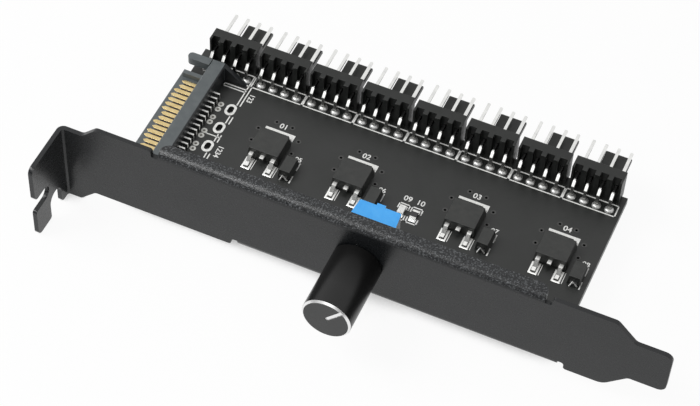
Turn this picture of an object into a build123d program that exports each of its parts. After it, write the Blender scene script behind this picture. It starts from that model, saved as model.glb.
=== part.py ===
"""Fan controller hub on an expansion-slot bracket, modelled piece by piece in millimetres.

Building axes: X runs from the screw tab to the bracket's tip, Y from the bracket's front face
back over the board, and Z up from the bracket's lower edge. The finished pieces are moved so
that the origin is the screw's place in the tab slot, on the face that sits on the chassis.
"""
import math
import os

from build123d import *

# Bracket sheet and outline
SHEET = 0.9
BRACKET_LENGTH = 120.02
BRACKET_WIDTH = 18.42
TIP_WIDTH = 10.19
TIP_OFFSET = 4.35
TIP_LENGTH = 6.9
TIP_RADIUS = 1.6
NECK_DROP = 3.18
NECK_TOP_DROP = 2.8
NECK_TOP_LENGTH = 5.0
NECK_BOTTOM_LENGTH = 3.7
OUTLINE_RADIUS = 1.2
SHOULDER_RADIUS = 3.0

# Screw tab
TAB_DEPTH = 11.43
TAB_FOLD_RADIUS = 0.5
TAB_CORNER = 1.3
SLOT_WIDTH = 3.2
SLOT_REACH = 5.0
SLOT_HEIGHT = 8.5
SLOT_HIGH_LIP = 1.2
SLOT_LOW_LIP = 0.6
NOTCH_WIDTH = 4.1
NOTCH_PLACE = 4.45
NOTCH_HEIGHT = 5.5
NOTCH_OUTER_LIP = 0.5
NOTCH_INNER_LIP = 0.9

# Flanges folded back from the long edges
FOLD_RADIUS = 0.7
RELIEF = 1.3
RELIEF_RADIUS = 0.55
TOP_FLANGE_START = 20.6
TOP_FLANGE_LENGTH = 75.4
TOP_FLANGE_DEPTH = 2.95
TOP_FLANGE_CORNER = 1.8
LOW_FLANGE_START = 36.6
LOW_FLANGE_LENGTH = 63.4
LOW_FLANGE_DEPTH = 9.0
LOW_FLANGE_CORNER = 1.5
LEG_WINDOW_MARGIN = 1.2

# Circuit board, which stands on the lower flange
BOARD_START = 10.4
BOARD_LENGTH = 88.97
BOARD_THICKNESS = 1.6
BOARD_REAR = 40.25
BOARD_FOLD_GAP = 0.2
LEAD_HOLE_FIT = 0.15
SPARE_HOLE_WIDTH = 1.1
SPARE_HOLE_LENGTH = 1.8
SPARE_HOLE_COUNT = 4
SPARE_PITCH = 5.08
SPARE_ROW = 11.46
SPARE_FIRST = 10.8

# Screws that hold the board to the lower flange
SCREW_DIAMETER = 3.0
SCREW_HEAD = 5.5
SCREW_HEAD_HEIGHT = 1.9
SCREW_HEAD_BEVEL = 0.7
SCREW_TIP = 0.4
SCREW_INSET = 5.2
SCREW_FROM_FOLD = 4.0
RECESS_WIDTH = 0.7
RECESS_SPAN = 2.6
RECESS_DEPTH = 1.1
THREAD_CLEARANCE = 0.15

# Fan headers, each a housing with a row of right-angle pins
HEADER_COUNT = 8
HEADER_PITCH = 10.81
HEADER_WIDTH = 10.0
HEADER_HEIGHT = 6.5
HEADER_WALL = 3.1
PIN_COUNT = 4
PIN_PITCH = 2.54
PIN_SIZE = 0.64
PIN_POINT = 0.2
PIN_BEND = 0.55
PIN_FIRST = 3.35
PIN_ROW_INSET = 4.2
PIN_TO_WALL = 1.7
PIN_HEIGHT = 3.9
PIN_REACH = 7.0
PIN_TAIL = 1.2
PIN_FIT = 0.02
GROOVE_WIDTH = 1.5
GROOVE_DEPTH = 1.1
LATCH_WIDTH = 5.2
LATCH_OVERHANG = 0.25
LATCH_LENGTH = 7.0
LATCH_THICKNESS = 1.1
LATCH_DROP = 1.3
LATCH_LEAD_IN = 0.4

# Power plug with a keyed tongue at the board's left edge
CONTACT_COUNT = 15
CONTACT_PITCH = 1.27
CONTACT_WIDTH = 0.86
CONTACT_SHEET = 0.15
CONTACT_POINT = 0.6
CONTACT_LONG = 0.5
LONG_CONTACTS = (3, 4, 5, 6, 7, 10, 12, 13)
CONTACT_TAIL_WIDTH = 0.58
CONTACT_TAIL_REACH = 1.35
PLUG_CENTRE = 18.8
PLUG_BODY_START = 4.0
PLUG_BODY_LENGTH = 3.0
PLUG_HEIGHT = 3.7
PLUG_FAR_END = 14.7
PLUG_NEAR_END = 11.75
TONGUE_LENGTH = 4.8
TONGUE_TOP = 1.3
TONGUE_LIFT = 0.15
TONGUE_MARGIN = 1.1
TONGUE_TIP_GAP = 0.9
KEY_WALL = 0.95
KEY_HEIGHT = 2.5
KEY_SETBACK = 0.5
ARM_WIDTH = 1.7
ARM_RADIUS = 0.8
ARM_HEIGHT = 1.7
GUSSET_LENGTH = 4.6
GUSSET_WIDTH = 1.0
PLUG_EDGE = 0.25

# Turning control: knob, shaft and the works of the potentiometer
POT_PLACE = 50.43
POT_SHAFT_HEIGHT = 6.6
POT_PANEL_GAP = 0.4
POT_WIDTH = 9.6
POT_REAR_WIDTH = 8.15
POT_HEIGHT = 11.2
POT_REAR = 9.9
POT_EDGE = 0.3
POT_RIB_WIDTH = 1.7
POT_RIB_DEPTH = 0.5
POT_RIB_HEIGHT = 2.2
FRAME_SHEET = 0.8
FRAME_HEIGHT = 9.6
CHEEK_DEPTH = 5.0
CHEEK_HEIGHT = 4.4
CHEEK_GAP = 0.05
LEG_WIDTH = 1.4
LEG_TAIL = 0.8
SHAFT_DIAMETER = 6.0
SHAFT_RUNNING_FIT = 0.03
SHAFT_FLAT = 1.5
PANEL_HOLE = 7.4
ROTOR_DIAMETER = 7.4
ROTOR_THICKNESS = 1.8
ROTOR_GAP = 0.3
ROTOR_END_PLAY = 0.15
WIPER_SHEET = 0.25
WIPER_LENGTH = 5.9
WIPER_WIDTH = 1.6
WIPER_FINGER = 0.7
WIPER_RISE = 0.4
TRACK_THICKNESS = 0.8
TRACK_GAP = 0.15
TERMINAL_COUNT = 3
TERMINAL_PITCH = 2.5
TERMINAL_WIDTH = 0.8
TERMINAL_SHEET = 0.4
TERMINAL_TAIL = 1.2
SEAT_FIT = 0.02

# Knob
KNOB_DIAMETER = 9.5
KNOB_FACE = 14.4
KNOB_PANEL_GAP = 0.4
KNOB_CHAMFER = 0.4
KNOB_BORE_DEPTH = 10.5
POINTER_ANGLE = 41.0
POINTER_WIDTH = 0.8
POINTER_DEPTH = 0.15

# Transistors, with the lead side toward the bracket
TRANSISTOR_1_PLACE = 22.5
TRANSISTOR_2_PLACE = 39.95
TRANSISTOR_3_PLACE = 62.8
TRANSISTOR_4_PLACE = 81.0
TRANSISTOR_ROW = 20.1
CASE_WIDTH = 6.6
CASE_DEPTH = 6.1
CASE_HEIGHT = 2.3
CASE_DRAFT = 7.0
LEAD_PITCH = 2.285
LEAD_WIDTH = 0.8
LEAD_SHEET = 0.5
LEAD_RISE = 0.9
LEAD_REACH = 2.7
LEAD_FOOT = 1.1
LEAD_SLOPE = 1.1
STUB_REACH = 0.75
HEAT_TAB_WIDTH = 5.4
HEAT_TAB_REACH = 1.0

# Diodes beside the transistors
DIODE_OFFSET = 5.5
DIODE_ROW = 16.9
DIODE_WIDTH = 2.6
DIODE_LENGTH = 4.3
DIODE_HEIGHT = 2.1
DIODE_DRAFT = 6.0
DIODE_LEAD_WIDTH = 1.5
DIODE_LEAD_SHEET = 0.2
DIODE_LEAD_RISE = 1.0
DIODE_LEAD_INSET = 0.9

# Lamp chip and resistor chip
CHIP_LENGTH = 2.0
CHIP_WIDTH = 1.25
LAMP_PLACE = 51.3
LAMP_HEIGHT = 0.8
RESISTOR_PLACE = 53.9
RESISTOR_HEIGHT = 0.55
CHIP_ROW = 17.1
CHIP_CAP = 0.4
CHIP_CAP_SHEET = 0.06

# Values that follow from the ones above
FOLD_OUTER = FOLD_RADIUS + SHEET
TAB_FOLD_OUTER = TAB_FOLD_RADIUS + SHEET
NECK_LOW = -NECK_DROP
NECK_HIGH = BRACKET_WIDTH - NECK_TOP_DROP
TIP_HIGH = TIP_OFFSET + TIP_WIDTH
TIP_START = BRACKET_LENGTH - TIP_LENGTH
SLOT_Z = NECK_LOW + SLOT_HEIGHT
SLOT_Y = -TAB_DEPTH + SLOT_REACH - SLOT_WIDTH / 2
TOP_FLANGE_END = TOP_FLANGE_START + TOP_FLANGE_LENGTH
LOW_FLANGE_END = LOW_FLANGE_START + LOW_FLANGE_LENGTH
BOARD_END = BOARD_START + BOARD_LENGTH
BOARD_FRONT = FOLD_OUTER + BOARD_FOLD_GAP
BOARD_LOW = SHEET
BOARD_TOP = BOARD_LOW + BOARD_THICKNESS
SCREW_Y = FOLD_OUTER + SCREW_FROM_FOLD
SCREW_FIRST = max(LOW_FLANGE_START, BOARD_START) + SCREW_INSET
SCREW_LAST = min(LOW_FLANGE_END, BOARD_END) - SCREW_INSET
SCREW_XS = (SCREW_FIRST, SCREW_LAST)
PIN_Y = BOARD_REAR - PIN_ROW_INSET
PIN_Z = BOARD_TOP + PIN_HEIGHT
PIN_OUTER_BEND = PIN_BEND + PIN_SIZE * (2 - math.sqrt(2))
WALL_FRONT = PIN_Y + PIN_TO_WALL
WALL_REAR = WALL_FRONT + HEADER_WALL
POT_X = BOARD_START + POT_PLACE
AXIS_Z = BOARD_TOP + POT_SHAFT_HEIGHT
POT_FRONT = SHEET + POT_PANEL_GAP
POT_BODY_FRONT = POT_FRONT + FRAME_SHEET
ROTOR_FRONT = POT_BODY_FRONT + ROTOR_END_PLAY
ROTOR_REAR = ROTOR_FRONT + ROTOR_THICKNESS
TRACK_FRONT = ROTOR_REAR + WIPER_SHEET + WIPER_RISE + TRACK_GAP
TRACK_REAR = TRACK_FRONT + TRACK_THICKNESS
CHAMBER_HALF = ROTOR_DIAMETER / 2 + ROTOR_GAP
KNOB_REAR_Y = -KNOB_PANEL_GAP
KNOB_FACE_Y = -KNOB_FACE
SHAFT_TIP_Y = KNOB_REAR_Y - KNOB_BORE_DEPTH
PLUG_X = BOARD_START + PLUG_BODY_START
PLUG_REAR_X = PLUG_X + PLUG_BODY_LENGTH
TONGUE_TIP_X = PLUG_X - TONGUE_LENGTH
PLUG_Y = BOARD_FRONT + PLUG_CENTRE
CONTACT_ROW = (CONTACT_COUNT - 1) * CONTACT_PITCH
CONTACT_TOP = BOARD_TOP + TONGUE_TOP + CONTACT_SHEET / 2
TRANSISTOR_PLACES = (TRANSISTOR_1_PLACE, TRANSISTOR_2_PLACE, TRANSISTOR_3_PLACE, TRANSISTOR_4_PLACE)
TRANSISTOR_Y = BOARD_FRONT + TRANSISTOR_ROW
DIODE_Y = BOARD_FRONT + DIODE_ROW
CHIP_Y = BOARD_FRONT + CHIP_ROW
DATUM = Pos(-SHEET, -SLOT_Y, -SLOT_Z)


def block(x_span, y_span, z_span):
    """Box between two limits on each axis."""
    size = [span[1] - span[0] for span in (x_span, y_span, z_span)]
    centre = [(span[0] + span[1]) / 2 for span in (x_span, y_span, z_span)]
    return Pos(*centre) * Box(*size)


def outline(corners):
    """Flat face from corners given as (across, up, corner radius)."""
    face = make_face(Polyline(*[(x, y) for x, y, _ in corners], close=True))
    for x, y, radius in corners:
        if radius > 0:
            face = fillet(face.vertices().sort_by_distance((x, y, 0))[0], radius)
    return face


def along_x(face, x_span):
    """Extrude a face drawn as (Y, Z) between two X limits."""
    return extrude(Plane.YZ.offset(x_span[0]) * face, x_span[1] - x_span[0])


def along_y(face, y_span):
    """Extrude a face drawn as (X, Z) between two Y limits."""
    return extrude(Plane.XZ.offset(-y_span[1]) * face, y_span[1] - y_span[0])


def along_z(face, z_span):
    """Extrude a face drawn as (X, Y) between two Z limits."""
    return extrude(Plane.XY.offset(z_span[0]) * face, z_span[1] - z_span[0])


def rod_y(x, z, radius, y_span):
    """Round bar along Y."""
    return along_y(Pos(x, z) * Circle(radius), y_span)


def rod_z(x, y, radius, z_span):
    """Round bar along Z."""
    return along_z(Pos(x, y) * Circle(radius), z_span)


def drafted_block(x_mid, y_mid, z_low, width, depth, height, draft):
    """Moulded block whose four sides lean in toward the top."""
    base = Pos(x_mid, y_mid, z_low) * Rectangle(width, depth)
    return extrude(base, height, taper=draft)


def spread(count, pitch):
    """Places of a centred row."""
    return [(i - (count - 1) / 2) * pitch for i in range(count)]


# Bracket
def fold_sector(inner):
    """Quarter ring of sheet that folds from the left (-X) to the top (+Y) of its centre."""
    outer = inner + SHEET
    quarter = Pos(-outer / 2, outer / 2) * Rectangle(outer, outer)
    return (Circle(outer) - Circle(inner)) & quarter


def bracket_plate():
    """Long face with its neck and tip."""
    r = OUTLINE_RADIUS
    corners = [
        (TAB_FOLD_OUTER, NECK_LOW, 0),
        (NECK_BOTTOM_LENGTH, NECK_LOW, r),
        (NECK_BOTTOM_LENGTH + NECK_DROP, 0, r),
        (TIP_START - TIP_OFFSET, 0, SHOULDER_RADIUS),
        (TIP_START, TIP_OFFSET, r),
        (BRACKET_LENGTH, TIP_OFFSET, TIP_RADIUS),
        (BRACKET_LENGTH, TIP_HIGH, TIP_RADIUS),
        (TIP_START, TIP_HIGH, r),
        (TIP_START - (BRACKET_WIDTH - TIP_HIGH), BRACKET_WIDTH, r),
        (NECK_TOP_LENGTH + NECK_TOP_DROP, BRACKET_WIDTH, r),
        (NECK_TOP_LENGTH, NECK_HIGH, r),
        (TAB_FOLD_OUTER, NECK_HIGH, 0),
    ]
    return along_y(outline(corners), (0, SHEET))


def bracket_tab():
    """Screw tab with its open slot and the notch beside the fold."""
    end = -TAB_DEPTH
    half = SLOT_WIDTH / 2
    face = outline([
        (-TAB_FOLD_RADIUS, NECK_LOW, 0),
        (-TAB_FOLD_RADIUS, NECK_HIGH, 0),
        (end, NECK_HIGH, TAB_CORNER),
        (end, NECK_LOW, TAB_CORNER),
    ])
    slot_mouth = Pos((end + SLOT_Y) / 2, SLOT_Z) * Rectangle(SLOT_Y - end, SLOT_WIDTH)
    face -= slot_mouth + Pos(SLOT_Y, SLOT_Z) * Circle(half)
    notch_radius = NOTCH_WIDTH / 2
    notch_rise = NOTCH_HEIGHT - notch_radius
    notch_sides = Pos(-NOTCH_PLACE, NECK_LOW + notch_rise / 2) * Rectangle(NOTCH_WIDTH, notch_rise)
    face -= notch_sides + Pos(-NOTCH_PLACE, NECK_LOW + notch_rise) * Circle(notch_radius)
    lips = [
        (end, SLOT_Z + half, SLOT_HIGH_LIP),
        (end, SLOT_Z - half, SLOT_LOW_LIP),
        (-NOTCH_PLACE - notch_radius, NECK_LOW, NOTCH_OUTER_LIP),
        (-NOTCH_PLACE + notch_radius, NECK_LOW, NOTCH_INNER_LIP),
    ]
    for y, z, radius in lips:
        face = fillet(face.vertices().sort_by_distance((y, z, 0))[0], radius)
    return along_x(face, (0, SHEET))


def top_edge_flange(start, end, depth, corner):
    """Flange folded back from the plate's upper edge."""
    centre = (FOLD_OUTER, BRACKET_WIDTH - FOLD_OUTER)
    flat = Pos((centre[0] + depth) / 2, BRACKET_WIDTH - SHEET / 2) * Rectangle(depth - centre[0], SHEET)
    profile = Pos(*centre) * fold_sector(FOLD_RADIUS) + flat
    flange = along_x(profile, (start, end))
    free_corners = flange.edges().filter_by(Axis.Z).group_by(Axis.Y)[-1]
    return fillet(free_corners, corner)


def low_edge_flange(start, end, depth, corner):
    """Flange folded back from the plate's lower edge."""
    middle = Plane.XY.offset(BRACKET_WIDTH / 2)
    return mirror(top_edge_flange(start, end, depth, corner), about=middle)


def relieved(plate, x_span, z_span):
    """Plate with a long edge cut away for a flange, and its relief corners rounded."""
    cut = grown(x_span, RELIEF)
    plate -= block(cut, (0, SHEET), z_span)
    for x in cut:
        for z in z_span:
            corner = plate.edges().filter_by(Axis.Y).sort_by_distance((x, SHEET / 2, z))[0]
            plate = fillet(corner, RELIEF_RADIUS)
    return plate


def make_bracket():
    """Slot bracket folded from one sheet."""
    fold = Pos(TAB_FOLD_OUTER, -TAB_FOLD_RADIUS) * fold_sector(TAB_FOLD_RADIUS)
    high_edge = (BRACKET_WIDTH - FOLD_OUTER, BRACKET_WIDTH)
    low_edge = (0, FOLD_OUTER)
    plate = relieved(bracket_plate(), (TOP_FLANGE_START, TOP_FLANGE_END), high_edge)
    plate = relieved(plate, (LOW_FLANGE_START, LOW_FLANGE_END), low_edge)
    plate -= rod_y(POT_X, AXIS_Z, PANEL_HOLE / 2, (0, SHEET))
    low_flange = low_edge_flange(LOW_FLANGE_START, LOW_FLANGE_END, LOW_FLANGE_DEPTH, LOW_FLANGE_CORNER)
    for x in SCREW_XS:
        low_flange -= rod_z(x, SCREW_Y, SCREW_DIAMETER / 2 + THREAD_CLEARANCE, (0, SHEET))
    window_x = grown((cheek_span(-1)[0], cheek_span(1)[1]), LEG_WINDOW_MARGIN)
    low_flange -= block(window_x, (leg_span()[0] - LEG_WINDOW_MARGIN, LOW_FLANGE_DEPTH), (0, SHEET))
    top_flange = top_edge_flange(TOP_FLANGE_START, TOP_FLANGE_END, TOP_FLANGE_DEPTH, TOP_FLANGE_CORNER)
    return plate + along_z(fold, (NECK_LOW, NECK_HIGH)) + bracket_tab() + top_flange + low_flange


# Board and its screws
def header_start(index):
    """X of the first pin of a fan header."""
    return BOARD_START + PIN_FIRST + index * HEADER_PITCH


def pin_places(index):
    """X of each pin of a fan header."""
    return [header_start(index) + i * PIN_PITCH for i in range(PIN_COUNT)]


def leg_span():
    """Y limits of the potentiometer frame's board legs."""
    return POT_FRONT + CHEEK_DEPTH - LEG_WIDTH, POT_FRONT + CHEEK_DEPTH


def cheek_span(side):
    """X limits of one side of the potentiometer frame."""
    inner = POT_WIDTH / 2 + CHEEK_GAP
    near = POT_X + side * inner
    far = POT_X + side * (inner + FRAME_SHEET)
    return min(near, far), max(near, far)


def grown(span, gap):
    """Limits widened by a gap at both ends."""
    return span[0] - gap, span[1] + gap


def shifted(span, distance):
    """Limits moved along their axis."""
    return span[0] + distance, span[1] + distance


def terminal_spans():
    """X limits of each potentiometer terminal."""
    half = TERMINAL_WIDTH / 2
    return [shifted((-half, half), POT_X + x) for x in spread(TERMINAL_COUNT, TERMINAL_PITCH)]


def make_board():
    """Circuit board with the holes of every leaded piece."""
    through = (BOARD_LOW, BOARD_TOP)
    board = block((BOARD_START, BOARD_END), (BOARD_FRONT, BOARD_REAR), through)
    holes = []
    for index in range(HEADER_COUNT):
        for x in pin_places(index):
            pin = grown((-PIN_SIZE / 2, PIN_SIZE / 2), LEAD_HOLE_FIT)
            holes.append(block(shifted(pin, x), shifted(pin, PIN_Y), through))
    for span in terminal_spans():
        depth = (TRACK_REAR, TRACK_REAR + TERMINAL_SHEET)
        holes.append(block(grown(span, LEAD_HOLE_FIT), grown(depth, LEAD_HOLE_FIT), through))
    for i in range(SPARE_HOLE_COUNT):
        y = BOARD_FRONT + SPARE_FIRST + i * SPARE_PITCH
        oval = SlotOverall(SPARE_HOLE_LENGTH, SPARE_HOLE_WIDTH, rotation=90)
        holes.append(along_z(Pos(BOARD_START + SPARE_ROW, y) * oval, through))
    for x in SCREW_XS:
        holes.append(rod_z(x, SCREW_Y, SCREW_DIAMETER / 2 + THREAD_CLEARANCE, through))
    for side in (-1, 1):
        holes.append(block(grown(cheek_span(side), SEAT_FIT), grown(leg_span(), SEAT_FIT), through))
    return board - holes


def make_board_screws():
    """Pan-head screws through the board into the lower flange."""
    screws = []
    for x in SCREW_XS:
        head_low = BOARD_TOP
        head_high = BOARD_TOP + SCREW_HEAD_HEIGHT
        head = rod_z(x, SCREW_Y, SCREW_HEAD / 2, (head_low, head_high))
        head = chamfer(head.edges().group_by(Axis.Z)[-1], SCREW_HEAD_BEVEL)
        floor = (head_high - RECESS_DEPTH, head_high)
        for across, along in ((RECESS_SPAN, RECESS_WIDTH), (RECESS_WIDTH, RECESS_SPAN)):
            head -= block((x - across / 2, x + across / 2), (SCREW_Y - along / 2, SCREW_Y + along / 2), floor)
        screws.append(head + rod_z(x, SCREW_Y, SCREW_DIAMETER / 2, (-SCREW_TIP, BOARD_TOP)))
    return Compound(children=screws)


# Fan headers
def make_header_pins(index):
    """Row of square right-angle pins."""
    half = PIN_SIZE / 2
    bend = make_face(Polyline(
        (PIN_Y - half, BOARD_LOW - PIN_TAIL),
        (PIN_Y + half, BOARD_LOW - PIN_TAIL),
        (PIN_Y + half, PIN_Z - half - PIN_BEND),
        (PIN_Y + half + PIN_BEND, PIN_Z - half),
        (WALL_REAR + PIN_REACH, PIN_Z - half),
        (WALL_REAR + PIN_REACH, PIN_Z + half),
        (PIN_Y - half + PIN_OUTER_BEND, PIN_Z + half),
        (PIN_Y - half, PIN_Z + half - PIN_OUTER_BEND),
        close=True,
    ))
    pins = []
    for x in pin_places(index):
        pin = along_x(bend, (x - half, x + half))
        tip = pin.faces().sort_by(Axis.Y)[-1]
        pins.append(chamfer(tip.edges(), PIN_POINT))
    return Compound(children=pins)


def make_header_housing(index):
    """Header wall with pin grooves in its near face and a latch below half of the pins."""
    places = pin_places(index)
    middle = (places[0] + places[-1]) / 2
    span = (middle - HEADER_WIDTH / 2, middle + HEADER_WIDTH / 2)
    half = PIN_SIZE / 2 + PIN_FIT
    wall = block(span, (WALL_FRONT, WALL_REAR), (BOARD_TOP, BOARD_TOP + HEADER_HEIGHT))
    latch_top = PIN_Z - LATCH_DROP
    latch_low = latch_top - LATCH_THICKNESS
    latch_end = WALL_REAR + LATCH_LENGTH
    latch_profile = make_face(Polyline(
        (WALL_REAR, latch_low),
        (latch_end, latch_low),
        (latch_end, latch_top - LATCH_LEAD_IN),
        (latch_end - LATCH_LEAD_IN, latch_top),
        (WALL_REAR, latch_top),
        close=True,
    ))
    latch_right = places[-1] + LATCH_OVERHANG
    housing = wall + along_x(latch_profile, (latch_right - LATCH_WIDTH, latch_right))
    cuts = []
    for x in places:
        groove = (x - GROOVE_WIDTH / 2, x + GROOVE_WIDTH / 2)
        cuts.append(block(groove, (WALL_FRONT, WALL_FRONT + GROOVE_DEPTH), (BOARD_TOP, BOARD_TOP + HEADER_HEIGHT)))
        cuts.append(block((x - half, x + half), (WALL_FRONT, WALL_REAR), (PIN_Z - half, PIN_Z + half)))
    return housing - cuts


# Power plug
def contact_place(number):
    """Y of a contact, counted from the keyed end."""
    return PLUG_Y + CONTACT_ROW / 2 - (number - 1) * CONTACT_PITCH


def make_contact(number):
    """Flat pointed contact that lies on the tongue, passes the body and folds down to the board."""
    tip = TONGUE_TIP_X + TONGUE_TIP_GAP
    if number in LONG_CONTACTS:
        tip -= CONTACT_LONG
    low = CONTACT_TOP - CONTACT_SHEET
    end = PLUG_REAR_X + CONTACT_TAIL_REACH
    side = make_face(Polyline(
        (tip, low),
        (end - CONTACT_SHEET, low),
        (end - CONTACT_SHEET, BOARD_TOP),
        (end, BOARD_TOP),
        (end, CONTACT_TOP),
        (tip, CONTACT_TOP),
        close=True,
    ))
    y = contact_place(number)
    right_half = [
        (tip + CONTACT_POINT, CONTACT_WIDTH / 2),
        (PLUG_REAR_X, CONTACT_WIDTH / 2),
        (PLUG_REAR_X, CONTACT_TAIL_WIDTH / 2),
        (end, CONTACT_TAIL_WIDTH / 2),
    ]
    left_half = [(x, -across) for x, across in reversed(right_half)]
    plan = Pos(0, y) * make_face(Polyline((tip, 0), *right_half, *left_half, close=True))
    strip = along_y(side, (y - CONTACT_WIDTH / 2, y + CONTACT_WIDTH / 2))
    return strip & along_z(plan, (BOARD_TOP, CONTACT_TOP))


def make_plug_contacts():
    """The row of contacts."""
    return Compound(children=[make_contact(n + 1) for n in range(CONTACT_COUNT)])


def gusset(y_span):
    """Three-cornered brace from the body's rear wall down to the board."""
    face = make_face(Polyline(
        (PLUG_REAR_X, BOARD_TOP),
        (PLUG_REAR_X + GUSSET_LENGTH, BOARD_TOP),
        (PLUG_REAR_X, BOARD_TOP + PLUG_HEIGHT),
        close=True,
    ))
    return along_y(face, y_span)


def make_plug_housing():
    """Moulded plug body with tongue, key wall, guide arm and end braces."""
    top = BOARD_TOP + PLUG_HEIGHT
    far = PLUG_Y + PLUG_FAR_END
    near = PLUG_Y - PLUG_NEAR_END
    tongue_far = PLUG_Y + CONTACT_ROW / 2 + TONGUE_MARGIN
    tongue_near = PLUG_Y - CONTACT_ROW / 2 - TONGUE_MARGIN
    body = block((PLUG_X, PLUG_REAR_X), (near, far), (BOARD_TOP, top))
    body = chamfer(body.edges().filter_by(Axis.Y).group_by(Axis.Z)[-1], PLUG_EDGE)
    key_far = tongue_far + KEY_WALL
    lift = BOARD_TOP + TONGUE_LIFT
    tongue = block((TONGUE_TIP_X, PLUG_X), (tongue_near, key_far), (lift, BOARD_TOP + TONGUE_TOP))
    key = block((TONGUE_TIP_X + KEY_SETBACK, PLUG_X), (tongue_far, key_far), (lift, BOARD_TOP + KEY_HEIGHT))
    arm_face = outline([
        (TONGUE_TIP_X, far - ARM_WIDTH, ARM_RADIUS),
        (PLUG_X, far - ARM_WIDTH, 0),
        (PLUG_X, far, 0),
        (TONGUE_TIP_X, far, ARM_RADIUS),
    ])
    arm = along_z(arm_face, (top - ARM_HEIGHT, top))
    braces = gusset((far - GUSSET_WIDTH, far)) + gusset((near, near + GUSSET_WIDTH))
    return body + tongue + key + arm + braces - make_plug_contacts().solids()


# Potentiometer
def make_pot_frame():
    """Bent metal frame: front plate with the shaft's bearing, two cheeks and two board legs."""
    left = cheek_span(-1)
    right = cheek_span(1)
    plate_span = (left[0], right[1])
    plate_z = (AXIS_Z - FRAME_HEIGHT / 2, AXIS_Z + FRAME_HEIGHT / 2)
    cheek_z = (AXIS_Z - CHEEK_HEIGHT / 2, AXIS_Z + CHEEK_HEIGHT / 2)
    frame = block(plate_span, (POT_FRONT, POT_BODY_FRONT), plate_z)
    for span in (left, right):
        frame += block(span, (POT_FRONT, POT_FRONT + CHEEK_DEPTH), cheek_z)
        frame += block(span, leg_span(), (BOARD_LOW - LEG_TAIL, cheek_z[1]))
    bearing = rod_y(POT_X, AXIS_Z, SHAFT_DIAMETER / 2 + SHAFT_RUNNING_FIT, (POT_FRONT, POT_BODY_FRONT))
    return frame - bearing


def make_pot_terminals():
    """Flat terminals that stand behind the track and pass the board."""
    z_span = (BOARD_LOW - TERMINAL_TAIL, AXIS_Z - CHAMBER_HALF / 2)
    y_span = (TRACK_REAR, TRACK_REAR + TERMINAL_SHEET)
    return Compound(children=[block(span, y_span, z_span) for span in terminal_spans()])


def chamber_span(middle):
    """Limits of the square chamber that holds the track and the rotor."""
    return middle - CHAMBER_HALF, middle + CHAMBER_HALF


def make_pot_body():
    """Moulded body that narrows to the rear, with a square chamber open to the frame."""
    top = BOARD_TOP + POT_HEIGHT
    plan = outline([
        (POT_X - POT_WIDTH / 2, POT_BODY_FRONT, 0),
        (POT_X + POT_WIDTH / 2, POT_BODY_FRONT, 0),
        (POT_X + POT_REAR_WIDTH / 2, POT_REAR, POT_EDGE),
        (POT_X - POT_REAR_WIDTH / 2, POT_REAR, POT_EDGE),
    ])
    body = along_z(plan, (BOARD_TOP, top))
    rib = (POT_X - POT_RIB_WIDTH / 2, POT_X + POT_RIB_WIDTH / 2)
    body += block(rib, (POT_REAR, POT_REAR + POT_RIB_DEPTH), (top - POT_RIB_HEIGHT, top))
    body -= block(chamber_span(POT_X), (POT_BODY_FRONT, TRACK_REAR), chamber_span(AXIS_Z))
    return body - make_pot_terminals().solids()


def make_pot_track():
    """Square resistance plate on the chamber's floor."""
    x_span = grown(chamber_span(POT_X), -SEAT_FIT)
    z_span = grown(chamber_span(AXIS_Z), -SEAT_FIT)
    return block(x_span, (TRACK_FRONT, TRACK_REAR), z_span)


def shaft_flat(radius, y_span):
    """Round bar with one flat, as the shaft's end and the knob's bore both have."""
    offset = SHAFT_DIAMETER / 2 - SHAFT_FLAT + radius - SHAFT_DIAMETER / 2
    flat = Pos(0, offset + radius) * Rectangle(4 * radius, 2 * radius)
    return along_y(Pos(POT_X, AXIS_Z) * (Circle(radius) - flat), y_span)


def make_pot_shaft():
    """Shaft and rotor turned in one piece."""
    end = shaft_flat(SHAFT_DIAMETER / 2, (SHAFT_TIP_Y, KNOB_REAR_Y))
    shank = rod_y(POT_X, AXIS_Z, SHAFT_DIAMETER / 2, (KNOB_REAR_Y, ROTOR_FRONT))
    return end + shank + rod_y(POT_X, AXIS_Z, ROTOR_DIAMETER / 2, (ROTOR_FRONT, ROTOR_REAR))


def make_pot_wiper():
    """Spring strip across the rotor with two fingers that reach for the track."""
    x_span = (POT_X - WIPER_LENGTH / 2, POT_X + WIPER_LENGTH / 2)
    z_span = (AXIS_Z - WIPER_WIDTH / 2, AXIS_Z + WIPER_WIDTH / 2)
    wiper = block(x_span, (ROTOR_REAR, ROTOR_REAR + WIPER_SHEET), z_span)
    reach = (ROTOR_REAR, ROTOR_REAR + WIPER_SHEET + WIPER_RISE)
    for finger in ((x_span[0], x_span[0] + WIPER_FINGER), (x_span[1] - WIPER_FINGER, x_span[1])):
        wiper += block(finger, reach, z_span)
    return wiper


def make_knob():
    """Turned knob with a bevelled face edge, a milled pointer line and a flatted bore."""
    knob = rod_y(POT_X, AXIS_Z, KNOB_DIAMETER / 2, (KNOB_FACE_Y, KNOB_REAR_Y))
    knob = chamfer(knob.edges().group_by(Axis.Y)[0], KNOB_CHAMFER)
    line = Pos(0, KNOB_DIAMETER / 4) * Rectangle(POINTER_WIDTH, KNOB_DIAMETER / 2)
    pointer = Pos(POT_X, AXIS_Z) * Rot(0, 0, -POINTER_ANGLE) * line
    knob -= along_y(pointer, (KNOB_FACE_Y, KNOB_FACE_Y + POINTER_DEPTH))
    return knob - shaft_flat(SHAFT_DIAMETER / 2 + SEAT_FIT, (SHAFT_TIP_Y, KNOB_REAR_Y))


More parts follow.
